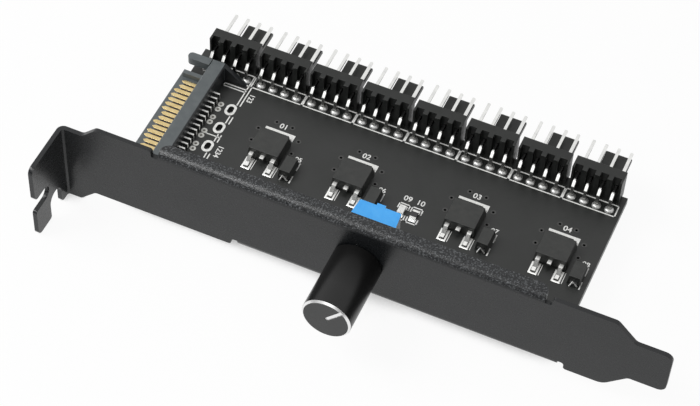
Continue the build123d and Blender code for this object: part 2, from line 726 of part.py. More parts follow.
# Transistors and diodes
def make_transistor_leads(place):
    """Two formed leads, the cut middle lead and the heat tab under the case."""
    x_mid = BOARD_START + place
    front = TRANSISTOR_Y - CASE_DEPTH / 2
    rear = TRANSISTOR_Y + CASE_DEPTH / 2
    low = BOARD_TOP + LEAD_RISE
    high = low + LEAD_SHEET
    inside = TRANSISTOR_Y - LEAD_PITCH / 2
    end = front - LEAD_REACH
    heel = end + LEAD_FOOT
    knee = heel + LEAD_SLOPE
    mitre = LEAD_SHEET * math.tan(math.atan2(LEAD_RISE, LEAD_SLOPE) / 2)
    formed = make_face(Polyline(
        (inside, low),
        (knee, low),
        (heel, BOARD_TOP),
        (end, BOARD_TOP),
        (end, BOARD_TOP + LEAD_SHEET),
        (heel - mitre, BOARD_TOP + LEAD_SHEET),
        (knee - mitre, high),
        (inside, high),
        close=True,
    ))
    leads = []
    for side in (-1, 1):
        x = x_mid + side * LEAD_PITCH
        leads.append(along_x(formed, (x - LEAD_WIDTH / 2, x + LEAD_WIDTH / 2)))
    stub = block((x_mid - LEAD_WIDTH / 2, x_mid + LEAD_WIDTH / 2), (front - STUB_REACH, inside), (low, high))
    tab_x = (x_mid - HEAT_TAB_WIDTH / 2, x_mid + HEAT_TAB_WIDTH / 2)
    tab = block(tab_x, (TRANSISTOR_Y, rear + HEAT_TAB_REACH), (BOARD_TOP, BOARD_TOP + LEAD_SHEET))
    return Compound(children=leads + [stub, tab])


def make_transistor_case(place):
    """Moulded case round the leads."""
    x_mid = BOARD_START + place
    case = drafted_block(x_mid, TRANSISTOR_Y, BOARD_TOP, CASE_WIDTH, CASE_DEPTH, CASE_HEIGHT, CASE_DRAFT)
    return case - make_transistor_leads(place).solids()


def make_diode_leads(place):
    """Two straps that leave the case ends and fold under it."""
    x_mid = BOARD_START + place + DIODE_OFFSET
    straps = []
    for side in (-1, 1):
        end = DIODE_Y + side * (DIODE_LENGTH / 2 + DIODE_LEAD_SHEET)
        skin = end - side * DIODE_LEAD_SHEET
        inner = end - side * DIODE_LEAD_INSET
        foot = BOARD_TOP + DIODE_LEAD_SHEET
        high = BOARD_TOP + DIODE_LEAD_RISE
        strap = make_face(Polyline(
            (inner, BOARD_TOP),
            (end, BOARD_TOP),
            (end, high),
            (inner, high),
            (inner, high - DIODE_LEAD_SHEET),
            (skin, high - DIODE_LEAD_SHEET),
            (skin, foot),
            (inner, foot),
            close=True,
        ))
        straps.append(along_x(strap, (x_mid - DIODE_LEAD_WIDTH / 2, x_mid + DIODE_LEAD_WIDTH / 2)))
    return Compound(children=straps)


def make_diode_case(place):
    """Moulded case of a diode, standing just off the board on its straps."""
    x_mid = BOARD_START + place + DIODE_OFFSET
    foot = BOARD_TOP + DIODE_LEAD_SHEET
    height = DIODE_HEIGHT - DIODE_LEAD_SHEET
    case = drafted_block(x_mid, DIODE_Y, foot, DIODE_WIDTH, DIODE_LENGTH, height, DIODE_DRAFT)
    return case - make_diode_leads(place).solids()


# Lamp and resistor chips
def make_chip_caps(place, height):
    """Two metal end caps that wrap a chip's ends."""
    x_mid = BOARD_START + place
    x_span = (x_mid - CHIP_WIDTH / 2, x_mid + CHIP_WIDTH / 2)
    caps = []
    for side in (-1, 1):
        end = CHIP_Y + side * CHIP_LENGTH / 2
        inner = end - side * CHIP_CAP
        y_span = (min(end, inner), max(end, inner))
        cap = block(x_span, y_span, (BOARD_TOP, BOARD_TOP + height))
        skin = end - side * CHIP_CAP_SHEET
        core_y = (min(inner, skin), max(inner, skin))
        core_z = (BOARD_TOP + CHIP_CAP_SHEET, BOARD_TOP + height - CHIP_CAP_SHEET)
        caps.append(cap - block(x_span, core_y, core_z))
    return Compound(children=caps)


def make_chip_body(place, height):
    """Chip block between and inside the end caps."""
    x_mid = BOARD_START + place
    x_span = (x_mid - CHIP_WIDTH / 2, x_mid + CHIP_WIDTH / 2)
    y_span = grown((CHIP_Y, CHIP_Y), CHIP_LENGTH / 2)
    z_span = (BOARD_TOP, BOARD_TOP + height)
    return block(x_span, y_span, z_span) - make_chip_caps(place, height).solids()


def make_pieces():
    """Every piece by its node name."""
    pieces = {
        "bracket": make_bracket(),
        "circuit_board": make_board(),
        "board_screws": make_board_screws(),
        "power_plug_housing": make_plug_housing(),
        "power_plug_contacts": make_plug_contacts(),
        "potentiometer_frame": make_pot_frame(),
        "potentiometer_body": make_pot_body(),
        "potentiometer_track": make_pot_track(),
        "potentiometer_terminals": make_pot_terminals(),
        "potentiometer_wiper": make_pot_wiper(),
        "potentiometer_shaft": make_pot_shaft(),
        "knob": make_knob(),
        "lamp_chip": make_chip_body(LAMP_PLACE, LAMP_HEIGHT),
        "lamp_chip_caps": make_chip_caps(LAMP_PLACE, LAMP_HEIGHT),
        "resistor_chip": make_chip_body(RESISTOR_PLACE, RESISTOR_HEIGHT),
        "resistor_chip_caps": make_chip_caps(RESISTOR_PLACE, RESISTOR_HEIGHT),
    }
    for index in range(HEADER_COUNT):
        pieces[f"fan_header_{index + 1}"] = make_header_housing(index)
        pieces[f"fan_header_pins_{index + 1}"] = make_header_pins(index)
    for index, place in enumerate(TRANSISTOR_PLACES):
        pieces[f"transistor_{index + 1}"] = make_transistor_case(place)
        pieces[f"transistor_leads_{index + 1}"] = make_transistor_leads(place)
        pieces[f"diode_{index + 1}"] = make_diode_case(place)
        pieces[f"diode_leads_{index + 1}"] = make_diode_leads(place)
    return pieces


def placed(piece):
    """Piece with each of its solids moved to the finished origin."""
    solids = [solid.moved(DATUM) for solid in piece.solids()]
    return solids[0] if len(solids) == 1 else Compound(children=solids)


def main():
    """Write one file per piece."""
    os.makedirs("parts", exist_ok=True)
    for name, piece in make_pieces().items():
        export_step(placed(piece), os.path.join("parts", f"{name}.step"))


main()
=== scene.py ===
"""Studio scene of a fan controller hub: finishes, board print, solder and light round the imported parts."""
import math

import bmesh
import bpy
from mathutils import Matrix, Vector


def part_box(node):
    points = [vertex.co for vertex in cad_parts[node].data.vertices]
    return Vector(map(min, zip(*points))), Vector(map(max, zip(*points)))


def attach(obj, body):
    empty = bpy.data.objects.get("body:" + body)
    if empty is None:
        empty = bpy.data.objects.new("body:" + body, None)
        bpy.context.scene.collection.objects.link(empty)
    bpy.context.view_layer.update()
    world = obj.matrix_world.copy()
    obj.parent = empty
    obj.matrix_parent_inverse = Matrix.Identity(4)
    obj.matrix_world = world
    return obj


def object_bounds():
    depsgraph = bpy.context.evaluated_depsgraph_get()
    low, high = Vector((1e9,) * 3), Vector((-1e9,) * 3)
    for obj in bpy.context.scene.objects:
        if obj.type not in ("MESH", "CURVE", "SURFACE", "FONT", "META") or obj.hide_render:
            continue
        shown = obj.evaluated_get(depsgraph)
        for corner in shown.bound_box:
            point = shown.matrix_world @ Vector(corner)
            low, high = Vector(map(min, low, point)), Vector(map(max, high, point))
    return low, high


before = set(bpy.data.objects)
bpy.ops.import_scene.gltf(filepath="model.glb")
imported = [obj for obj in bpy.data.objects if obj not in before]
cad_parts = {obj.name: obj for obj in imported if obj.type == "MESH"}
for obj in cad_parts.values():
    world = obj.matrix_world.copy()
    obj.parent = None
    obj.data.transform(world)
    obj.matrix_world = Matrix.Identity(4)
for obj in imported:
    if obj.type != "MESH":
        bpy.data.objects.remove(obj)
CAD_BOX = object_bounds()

MM = 0.001
HUB = "hub"

# Camera, as solved from the photograph
PHOTO_WIDTH = 700
FOCAL_PIXELS = 2196.0
SENSOR = 36.0
CAMERA_PLACE = Vector((144.93, -216.46, 319.35)) * MM
CAMERA_AIM = Vector((51.27, 24.63, -2.82)) * MM
CAMERA_ROLL = math.radians(3.275)
CAMERA_NEAR = 0.01

# Board, with the pins, terminals, print and solder on it, in millimetres
BOARD_LOW, BOARD_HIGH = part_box("circuit_board")
HEADER_COUNT = 8
TRANSISTOR_COUNT = 4
INK_HEIGHT = 0.02
INK_LINE = 0.25
PAD_HEIGHT = 0.04
PAD_RIM = 0.18
PAD_PROFILE = ((0.0, 0.0), (0.0, 0.4), (0.5, 0.85), (1.4, 1.0))
PIN_COUNT = 4
PIN_HALF = 0.32
TERMINAL_HALF = 0.4

# Header outlines, measured from the row of pins
HEADER_LINE_FRONT = 1.16
HEADER_LINE_REAR = 1.57
HEADER_LINE_MARGIN = 0.27

# Transistor print and pads, measured from the middle of the case
BAR_LEFT = 2.75
BAR_RIGHT = 2.9
BAR_ROW = 4.98
BAR_WIDTH = 0.58
BAR_CORNER = 1.5
BAR_CORNER_HEIGHT = 0.024
NUMBER_PLACE = (0.15, 6.43)
NUMBER_SIZE = 1.7
NUMBER_WEIGHT = 0.03
LEAD_PITCH = 2.285
LEAD_PAD_ROW = 4.75
LEAD_PAD_WIDTH = 1.75
LEAD_PAD_LENGTH = 2.9
LEAD_PAD_HEIGHT = 0.1
LEAD_LINE_OFFSET = 0.3
LEAD_LINE_INSET = 0.2
LEAD_FOOT_WIDTH = 0.85
LEAD_FOOT_LENGTH = 1.3
FILLET_WIDTH = 0.2
FILLET_HEIGHT = 0.2
LEAD_LINE = 0.14
VIA_PLACES = ((-4.2, 0.85), (-4.2, 4.1), (-1.6, 7.0), (1.75, 6.9), (4.25, 4.2), (4.25, 0.9))
VIA_RADIUS = 0.55
VIA_HOLE = 0.26
VIA_RING_HEIGHT = 0.03
VIA_RING_SEGMENTS = 20
VIA_HOLE_HEIGHT = 0.008
VIA_HOLE_SEGMENTS = 16

# Diode print and solder, measured from the middle of the case and of the leads
DIODE_LINE = 1.35
DIODE_LINE_FAR = (0.75, 2.5)
DIODE_LINE_NEAR = (-2.6, -0.95)
DIODE_NUMBER = (0.6, 3.3)
DIODE_NUMBER_SIZE = 1.5
DIODE_MARK_APEX = (-0.1, 1.15)
DIODE_MARK_FEET = ((-0.55, 0.4, 0.05), (0.85, 0.12, 0.25))
DIODE_MARK_LINE = 0.24

# Chip print and pads
CHIP_FRAME_WIDE = 1.05
CHIP_FRAME_LONG = 1.95
CHIP_FRAME_LEG = 1.2
CHIP_NUMBER_ROW = 3.3
CHIP_PAD_WIDTH = 1.4
CHIP_PAD_LENGTH = 0.85
CHIP_PAD_HEIGHT = 0.08
CHIP_PAD_ROW = 1.05

# Spare connector beside the power plug
SPARE_X = 11.46
SPARE_YS = (10.8, 15.88, 20.96, 26.04)
SPARE_OUTER = (2.1, 2.95)
SPARE_INNER = (1.12, 1.82)
SPARE_GAP = 0.2
SPARE_LINES = (12.05, 12.72)
SPARE_LINE_ENDS = (9.0, 36.7)
SPARE_CROSS_ROWS = (31.3, 31.95)
SPARE_CROSS_X = (7.37, 12.05)
SPARE_TEE = ((9.81, 18.73), (12.72, 18.73))
SPARE_NUMBERS = (("1234", (13.93, 15.5)), ("123", (13.71, 30.3)))
SPARE_NUMBER_SIZE = 1.55

# Power plug finish, with painted shade on the plastic and the tails and a painted highlight on the tails,
# from the ends of its housing and contacts and from the board
CONTACT_PITCH = 1.27
CONTACT_HALF = 0.43
TAIL_LENGTH = 1.5
TAIL_HIGHLIGHT_HALF = 0.17
TAIL_DULL = 0.2
TAIL_SHADE_COLOUR = (0.05, 0.05, 0.048)
TAIL_HIGHLIGHT_COLOUR = (0.92, 0.92, 0.9)
TONGUE_TOP = 1.3
GAP_SHADE_START = 1.7
GAP_SHADE_END = 4.8
GAP_SHADE_DEPTH = 0.1
GAP_SHADE_COLOUR = (0.008, 0.005, 0.002)
POCKET_START = 4.0
POCKET_MARGIN = 1.6
POCKET_DROP = 0.3
POCKET_SHADE_COLOUR = (0.006, 0.006, 0.007)
ARM_WIDTH = 1.7
BRACE_START = 7.9
BRACE_SHADE_COLOUR = (0.012, 0.013, 0.014)
PLUG_REAR_SHADE_COLOUR = (0.02, 0.022, 0.024)

# Plated holes beside the power plug
PLUG_VIA_X = 9.15
PLUG_VIA_ROWS = (14.83, 18.47, 22.25, 25.84)
PLUG_VIA_SPLIT = 0.68
PLUG_VIA_RADIUS = 0.62

# Painted shade on the pins, from their front, from the headers' rear end and from the board
PIN_COVER_START = 1.25
PIN_COVER_END = 7.0
PIN_BEND_TOP = 3.8
PIN_LEG_TOP = 2.9
PIN_COVER_SHADE_COLOUR = (0.12, 0.12, 0.12)
PIN_SIDE_SHADE_COLOUR = (0.3, 0.3, 0.29)
PIN_LEG_SHADE_COLOUR = (0.36, 0.36, 0.35)

# How far a face turns along an axis to count as a slope or a side, with the painted shade on the leads'
# slopes and the painted highlight on the control's sides
LEAD_SLOPE = -0.3
PIN_SIDE = 0.55
SIDE_FACING = 0.5
LEAD_SLOPE_SHADE_COLOUR = (0.2, 0.2, 0.195)
SIDE_PAINTED_LIGHT_COLOUR = (0.85, 0.86, 0.87)

# Solder at the pins
SOLDER_METAL = 0.6
JOINT_RADIUS = 0.93
JOINT_NECK = 0.2
JOINT_HEIGHT = 0.55
JOINT_SEGMENTS = 20
JOINT_STEPS = 5

# Powder coat, pebbled on the folded flange, which ends at these places along the bracket, with painted
# glints as light specks on the flange's upper faces
FLANGE_START = 19.7
FLANGE_END = 95.1
COAT_GRAIN = 0.22
COAT_DEPTH = 0.08
COAT_SMOOTH = 0.03
COAT_TURN_START = 0.1
COAT_TURN_END = 0.5
GLINT_GRAIN = 0.3
GLINT_START = 0.51
GLINT_FULL = 0.7
PAINTED_GLINT_COLOUR = (0.1, 0.105, 0.11)

# Knob, whose sheen fades from a share of its length to the rear as painted shade
KNOB_CHAMFER = 0.4
KNOB_GROOVE = 0.15
KNOB_SKIN = 0.02
KNOB_RING = 0.12
KNOB_SHEEN_START = 0.35
KNOB_SHEEN_FRONT = 0.35
KNOB_SHEEN_REAR = 0.04
KNOB_SIDE_COLOUR = (0.008, 0.008, 0.008)
KNOB_FACE_COLOUR = (0.034, 0.035, 0.035)
KNOB_BRIGHT_COLOUR = (0.88, 0.88, 0.88)

# Middle part of a noise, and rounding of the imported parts
NOISE_LOW = 0.3
NOISE_HIGH = 0.7
WELD_REACH = 0.001
BEVEL_SEGMENTS = 3

# Studio, in metres and watts, with the place, width, height and power of each lamp
LAMPS = (
    ("key", (-0.42, -0.12, 0.52), 0.35, 0.35, 3.3),
    ("fill", (0.0, -0.6, 0.4), 0.4, 0.4, 0.4),
    ("strip", (-0.09, -0.27, 0.6), 0.5, 0.1, 0.95),
)
SOFT_LIGHT = 0.3
ROOM_TILT = 1.5
ROOM_FRONT = -0.75
ROOM_BACK = 0.35
ROOM_DARK = 0.05
FLOOR_HALF = 1.5
FLOOR_MIDDLE = (0.05, 0.02)
FLOOR_GLOW = 0.94
FLOOR_COVER = 0.012
FLOOR_COVER_DARK = 0.08
FLOOR_COVER_OPEN = 0.4


# Finishes
def finish(name, colour, roughness, metallic=0.0, **sockets):
    """Material whose plain values sit on its Principled shader."""
    material = bpy.data.materials.new(name)
    material.use_nodes = True
    shader = material.node_tree.nodes["Principled BSDF"]
    shader.inputs["Base Color"].default_value = (*colour, 1)
    shader.inputs["Roughness"].default_value = roughness
    shader.inputs["Metallic"].default_value = metallic
    for socket, value in sockets.items():
        shader.inputs[socket.replace("_", " ")].default_value = value
    return material


def new_node(material, kind, **values):
    """Shader node with the given input values."""
    node = material.node_tree.nodes.new(kind)
    for key, value in values.items():
        node.inputs[key.replace("_", " ")].default_value = value
    return node


def join(material, source, target):
    """Link one socket to another."""
    material.node_tree.links.new(source, target)


def principled(material):
    """The material's main shader."""
    return material.node_tree.nodes["Principled BSDF"]


def noise(material, size, detail=2.0):
    """Noise in the part's own space, with grains of about the given size in millimetres."""
    place = new_node(material, "ShaderNodeTexCoord")
    grain = new_node(material, "ShaderNodeTexNoise", Scale=1 / (size * MM), Detail=detail)
    join(material, place.outputs["Object"], grain.inputs["Vector"])
    return grain.outputs["Fac"]


def fade(material, value, start, end, low=0.0, high=1.0):
    """From low at the start to high at the end."""
    ramp = new_node(material, "ShaderNodeMapRange", From_Min=start, From_Max=end, To_Min=low, To_Max=high)
    join(material, value, ramp.inputs["Value"])
    return ramp.outputs["Result"]


def spread(material, factor, low, high):
    """Map the middle of a noise to the range from low to high."""
    return fade(material, factor, NOISE_LOW, NOISE_HIGH, low, high)


def roughen(material, grain, low, high):
    """Roughness that wanders between two values with a noise."""
    join(material, spread(material, grain, low, high), principled(material).inputs["Roughness"])


def add_bump(material, height, depth, strength):
    """Bump of the given depth in millimetres."""
    bump = new_node(material, "ShaderNodeBump", Strength=strength, Distance=depth * MM, Height=0.5)
    join(material, height, bump.inputs["Height"])
    join(material, bump.outputs["Normal"], principled(material).inputs["Normal"])


def blend(material, factor, first, second):
    """Mix of two colours, each a socket or three values."""
    mix = material.node_tree.nodes.new("ShaderNodeMix")
    mix.data_type = "RGBA"
    join(material, factor, mix.inputs["Factor"])
    for socket, colour in (("A", first), ("B", second)):
        if isinstance(colour, tuple):
            mix.inputs[socket].default_value = (*colour, 1)
        else:
            join(material, colour, mix.inputs[socket])
    return mix.outputs["Result"]


def tint(material, factor, dark, light):
    """Colour that wanders between two tones."""
    colour = blend(material, spread(material, factor, 0.0, 1.0), dark, light)
    join(material, colour, principled(material).inputs["Base Color"])


def recolour(material, mask, colour):
    """Another base colour where the mask is one."""
    base = principled(material).inputs["Base Color"]
    join(material, blend(material, mask, base.links[0].from_socket, colour), base)


def maths(material, operation, *values):
    """Result of an operation on sockets and plain numbers."""
    node = material.node_tree.nodes.new("ShaderNodeMath")
    node.operation = operation
    for socket, value in zip(node.inputs, values):
        if isinstance(value, float):
            socket.default_value = value
        else:
            join(material, value, socket)
    return node.outputs["Value"]


def both(material, first, second):
    """One where both masks are one."""
    return maths(material, "MULTIPLY", first, second)


def position(material, axis):
    """One coordinate of the surface in the part's frame."""
    place = new_node(material, "ShaderNodeTexCoord")
    split = new_node(material, "ShaderNodeSeparateXYZ")
    join(material, place.outputs["Object"], split.inputs["Vector"])
    return split.outputs[axis]


def facing(material, axis):
    """How far the surface faces along an axis."""
    geometry = new_node(material, "ShaderNodeNewGeometry")
    split = new_node(material, "ShaderNodeSeparateXYZ")
    join(material, geometry.outputs["Normal"], split.inputs["Vector"])
    return split.outputs[axis]


def sideways(material, limit):
    """One on faces that look along X either way."""
    return maths(material, "GREATER_THAN", maths(material, "ABSOLUTE", facing(material, "X")), limit)


def every(material, tests):
    """One where all the tests hold, each an operation, a value and its limit."""
    mask = maths(material, *tests[0])
    for test in tests[1:]:
        mask = both(material, mask, maths(material, *test))
    return mask


def powder_coat():
    """Charcoal powder coat, pebbled on top of the folded flange, with painted glints as light specks there.
    """
    material = finish("powder_coat", (0.012, 0.013, 0.014), 0.36, Specular_IOR_Level=0.4)
    tint(material, noise(material, 6.0, 3.0), (0.007, 0.008, 0.009), (0.011, 0.012, 0.013))
    roughen(material, noise(material, 0.5), 0.25, 0.36)
    x = position(material, "X")
    flange = every(material, (
        ("GREATER_THAN", x, FLANGE_START * MM),
        ("LESS_THAN", x, FLANGE_END * MM),
    ))
    upper = both(material, facing(material, "Z"), flange)
    pebbled = fade(material, upper, COAT_TURN_START, COAT_TURN_END, COAT_SMOOTH)
    # Painted glints: light specks on the flange's upper faces stand in for the sparkle of the lamps.
    painted_glint = fade(material, noise(material, GLINT_GRAIN, 1.0), GLINT_START, GLINT_FULL)
    recolour(material, both(material, painted_glint, pebbled), PAINTED_GLINT_COLOUR)
    add_bump(material, both(material, noise(material, COAT_GRAIN, 3.0), pebbled), COAT_DEPTH, 1.0)
    return material


def solder_mask():
    """Black board lacquer."""
    material = finish("solder_mask", (0.012, 0.013, 0.012), 0.38)
    tint(material, noise(material, 9.0, 4.0), (0.009, 0.01, 0.009), (0.016, 0.017, 0.016))
    roughen(material, noise(material, 1.2, 4.0), 0.32, 0.46)
    add_bump(material, noise(material, 0.5, 3.0), 0.01, 0.25)
    return material


def moulded(name, dark, light, roughness, size=0.25, depth=0.012):
    """Moulded plastic with a slight skin texture."""
    material = finish(name, dark, roughness)
    tint(material, noise(material, 1.5, 4.0), dark, light)
    roughen(material, noise(material, 0.6, 3.0), roughness - 0.06, roughness + 0.08)
    add_bump(material, noise(material, size), depth, 0.4)
    return material


def plated(name, dark, light, roughness, size=0.7, depth=0.01):
    """Plated or tinned metal with soft stains."""
    material = finish(name, light, roughness, 1.0)
    tint(material, noise(material, size, 3.0), dark, light)
    roughen(material, noise(material, 0.4, 3.0), roughness - 0.06, roughness + 0.1)
    add_bump(material, noise(material, 0.3), depth, 0.3)
    return material


def contact_plate():
    """Gold on the mating side of the plug; on the tails behind its body, painted shade darkens the tin, with
    a painted highlight along the middle of each tail.
    """
    material = plated("contact_plate", (0.62, 0.47, 0.22), (0.74, 0.59, 0.31), 0.28, 1.5, 0.002)
    near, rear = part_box("power_plug_contacts")
    tail = maths(material, "GREATER_THAN", position(material, "X"), rear.x - TAIL_LENGTH * MM)
    # Painted shade: the tin tails take a near-black colour.
    recolour(material, tail, TAIL_SHADE_COLOUR)
    across = maths(material, "SUBTRACT", position(material, "Y"), near.y + CONTACT_HALF * MM)
    ridge = maths(material, "PINGPONG", across, CONTACT_PITCH / 2 * MM)
    # Painted highlight: a bright line along the middle of each tail.
    painted_highlight = maths(material, "LESS_THAN", ridge, TAIL_HIGHLIGHT_HALF * MM)
    recolour(material, both(material, tail, painted_highlight), TAIL_HIGHLIGHT_COLOUR)
    rough = principled(material).inputs["Roughness"]
    join(material, maths(material, "MULTIPLY_ADD", tail, TAIL_DULL, rough.links[0].from_socket), rough)
    return material


def pin_plate():
    """Bright pin plating, with painted shade on the legs, beside the elbows and where the header covers the
    pins.
    """
    material = plated("pin_plate", (0.72, 0.72, 0.71), (0.82, 0.82, 0.8), 0.13, 1.2, 0.002)
    row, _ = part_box("fan_header_pins_1")
    _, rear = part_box("fan_header_1")
    y = position(material, "Y")
    covered = every(material, (
        ("GREATER_THAN", y, row.y + PIN_COVER_START * MM),
        ("LESS_THAN", y, rear.y - PIN_COVER_END * MM),
    ))
    height = position(material, "Z")
    legs = fade(material, height, BOARD_HIGH.z + PIN_BEND_TOP * MM, BOARD_HIGH.z + PIN_LEG_TOP * MM)
    elbow = maths(material, "LESS_THAN", y, row.y + PIN_COVER_START * MM)
    # Painted shade: darker where the header covers the pins, on the elbows' sides and on the legs.
    recolour(material, covered, PIN_COVER_SHADE_COLOUR)
    recolour(material, both(material, elbow, sideways(material, PIN_SIDE)), PIN_SIDE_SHADE_COLOUR)
    recolour(material, legs, PIN_LEG_SHADE_COLOUR)
    return material


def lead_plate():
    """Tinned leads, with painted shade where they slope to the front."""
    material = plated("lead_tin", (0.8, 0.8, 0.78), (0.92, 0.92, 0.9), 0.42)
    slope = maths(material, "LESS_THAN", facing(material, "Y"), LEAD_SLOPE)
    # Painted shade on the faces that slope to the front.
    recolour(material, slope, LEAD_SLOPE_SHADE_COLOUR)
    return material


def slate_plastic():
    """Plug plastic with painted shade, dark brown between the contacts, dark in its corners and on the faces
    turned to the rear.
    """
    material = moulded("slate_plastic", (0.082, 0.094, 0.098), (0.106, 0.119, 0.123), 0.42)
    tip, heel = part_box("power_plug_housing")
    near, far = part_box("power_plug_contacts")
    top = BOARD_HIGH.z + TONGUE_TOP * MM
    x, y, z = (position(material, axis) for axis in "XYZ")
    gap_shade = every(material, (
        ("GREATER_THAN", x, tip.x + GAP_SHADE_START * MM),
        ("LESS_THAN", x, tip.x + GAP_SHADE_END * MM),
        ("GREATER_THAN", y, near.y),
        ("LESS_THAN", y, far.y),
        ("GREATER_THAN", z, top - GAP_SHADE_DEPTH * MM),
        ("LESS_THAN", z, top + GAP_SHADE_DEPTH * MM),
    ))
    pocket = every(material, (
        ("LESS_THAN", facing(material, "X"), -SIDE_FACING),
        ("GREATER_THAN", x, tip.x + POCKET_START * MM),
        ("GREATER_THAN", y, far.y + POCKET_MARGIN * MM),
        ("LESS_THAN", y, heel.y - ARM_WIDTH * MM),
        ("LESS_THAN", z, heel.z - POCKET_DROP * MM),
    ))
    brace = every(material, (
        ("LESS_THAN", facing(material, "Y"), -SIDE_FACING),
        ("GREATER_THAN", x, tip.x + BRACE_START * MM),
        ("GREATER_THAN", y, far.y),
    ))
    behind = maths(material, "GREATER_THAN", facing(material, "X"), SIDE_FACING)
    # Painted shade: dark brown between the contacts, dark in the pocket, on the brace's front faces and on
    # the faces turned to the rear.
    recolour(material, gap_shade, GAP_SHADE_COLOUR)
    recolour(material, pocket, POCKET_SHADE_COLOUR)
    recolour(material, brace, BRACE_SHADE_COLOUR)
    recolour(material, behind, PLUG_REAR_SHADE_COLOUR)
    return material


def ink():
    """White board print, a little uneven."""
    material = finish("ink", (0.85, 0.85, 0.83), 0.55)
    tint(material, noise(material, 0.25, 3.0), (0.72, 0.72, 0.7), (0.9, 0.9, 0.88))
    add_bump(material, noise(material, 0.12), 0.006, 0.3)
    return material


def knob_finish():
    """Black anodised knob with a bright-cut rim and pointer line and a turned face."""
    low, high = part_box("knob")
    axis = (low + high) / 2
    radius = (high.x - low.x) / 2
    chamfer = KNOB_CHAMFER * MM
    groove = KNOB_GROOVE * MM
    skin = KNOB_SKIN * MM
    material = finish("knob_finish", (0.01, 0.01, 0.01), 0.3)
    shader = principled(material)
    place = new_node(material, "ShaderNodeTexCoord")
    depth = position(material, "Y")
    centre = new_node(material, "ShaderNodeCombineXYZ", X=axis.x, Z=axis.z)
    join(material, depth, centre.inputs["Y"])
    away = material.node_tree.nodes.new("ShaderNodeVectorMath")
    away.operation = "DISTANCE"
    join(material, place.outputs["Object"], away.inputs[0])
    join(material, centre.outputs["Vector"], away.inputs[1])
    span = away.outputs["Value"]
    # Painted shade: the sheen fades towards the rear of the knob.
    sheen_start = low.y + (high.y - low.y) * KNOB_SHEEN_START
    sheen = fade(material, depth, sheen_start, high.y, KNOB_SHEEN_FRONT, KNOB_SHEEN_REAR)
    join(material, sheen, shader.inputs["Specular IOR Level"])
    front = maths(material, "LESS_THAN", depth, low.y + chamfer - skin)
    rim = both(material, front, maths(material, "GREATER_THAN", span, radius - chamfer + skin / 2))
    inner = maths(material, "LESS_THAN", span, radius - chamfer)
    sunk = both(material, maths(material, "GREATER_THAN", depth, low.y + groove - skin), inner)
    bright = maths(material, "MAXIMUM", rim, both(material, sunk, front))
    face = both(material, inner, front)
    shade = blend(material, face, KNOB_SIDE_COLOUR, KNOB_FACE_COLOUR)
    join(material, blend(material, bright, shade, KNOB_BRIGHT_COLOUR), shader.inputs["Base Color"])
    join(material, bright, shader.inputs["Metallic"])
    rings = maths(material, "SINE", maths(material, "MULTIPLY", span, 2 * math.pi / (KNOB_RING * MM)))
    add_bump(material, both(material, rings, face), 0.004, 0.5)
    return material


# Shapes
def make_piece(name, mesh, material):
    """Object from a bmesh, riding on the hub."""
    data = bpy.data.meshes.new(name)
    bmesh.ops.recalc_face_normals(mesh, faces=mesh.faces)
    mesh.to_mesh(data)
    mesh.free()
    piece = bpy.data.objects.new(name, data)
    bpy.context.scene.collection.objects.link(piece)
    data.materials.append(material)
    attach(piece, HUB)
    return piece


def on_board(x, y, z=0.0):
    """Point from millimetres on the board's upper face to the part's frame."""
    return Vector((BOARD_LOW.x + x * MM, BOARD_LOW.y + y * MM, BOARD_HIGH.z + z * MM))


def to_board(point):
    """Millimetres across and along the board of a point in the part's frame."""
    return (point.x - BOARD_LOW.x) / MM, (point.y - BOARD_LOW.y) / MM


def band(mesh, first, second):
    """Faces between two closed rows of points."""
    for i in range(len(first)):
        j = (i + 1) % len(first)
        mesh.faces.new((first[i], first[j], second[j], second[i]))


def oblong(mesh, middle, wide, long, height):
    """Four points round a place on the board, from half sizes in millimetres."""
    x, y = middle
    corners = ((-wide, -long), (wide, -long), (wide, long), (-wide, long))
    return [mesh.verts.new(on_board(x + dx, y + dy, height)) for dx, dy in corners]


def prism(mesh, corners, height):
    """Flat patch with upright sides on the board from its corners in millimetres."""
    low = [mesh.verts.new(on_board(x, y)) for x, y in corners]
    high = [mesh.verts.new(on_board(x, y, height)) for x, y in corners]
    mesh.faces.new(high)
    mesh.faces.new(low[::-1])
    band(mesh, low, high)


def line(mesh, start, end, width=INK_LINE):
    """Straight stroke of ink with square ends."""
    run = Vector(end) - Vector(start)
    along = run.normalized() * width / 2
    side = Vector((-along.y, along.x))
    first = Vector(start) - along
    last = Vector(end) + along
    prism(mesh, [first + side, first - side, last - side, last + side], INK_HEIGHT)


def ring(mesh, middle, outer, inner, height, segments=36):
    """Ring with straight sides and round ends, given by its sizes across and along the board."""
    loops = []
    for size, z in ((outer, 0.0), (outer, height), (inner, height), (inner, 0.0)):
        radius = size[0] / 2
        reach = (size[1] - size[0]) / 2
        loop = []
        for i in range(segments):
            turn = 2 * math.pi * (i + 0.5) / segments
            along = radius * math.sin(turn) + math.copysign(reach, math.sin(turn))
            loop.append(mesh.verts.new(on_board(middle[0] + radius * math.cos(turn), middle[1] + along, z)))
        loops.append(loop)
    for first, second in zip(loops, loops[1:] + loops[:1]):
        band(mesh, first, second)


def lathe(mesh, centre, profile, up=1, segments=JOINT_SEGMENTS):
    """Turned solid on the board from (radius, height) pairs in millimetres."""
    loops = []
    for radius, height in profile:
        loop = []
        for i in range(segments):
            turn = 2 * math.pi * i / segments
            offset = Vector((math.cos(turn) * radius, math.sin(turn) * radius, up * height)) * MM
            loop.append(mesh.verts.new(centre + offset))
        loops.append(loop)
    for first, second in zip(loops, loops[1:]):
        band(mesh, first, second)
    mesh.faces.new(loops[0])
    mesh.faces.new(loops[-1])


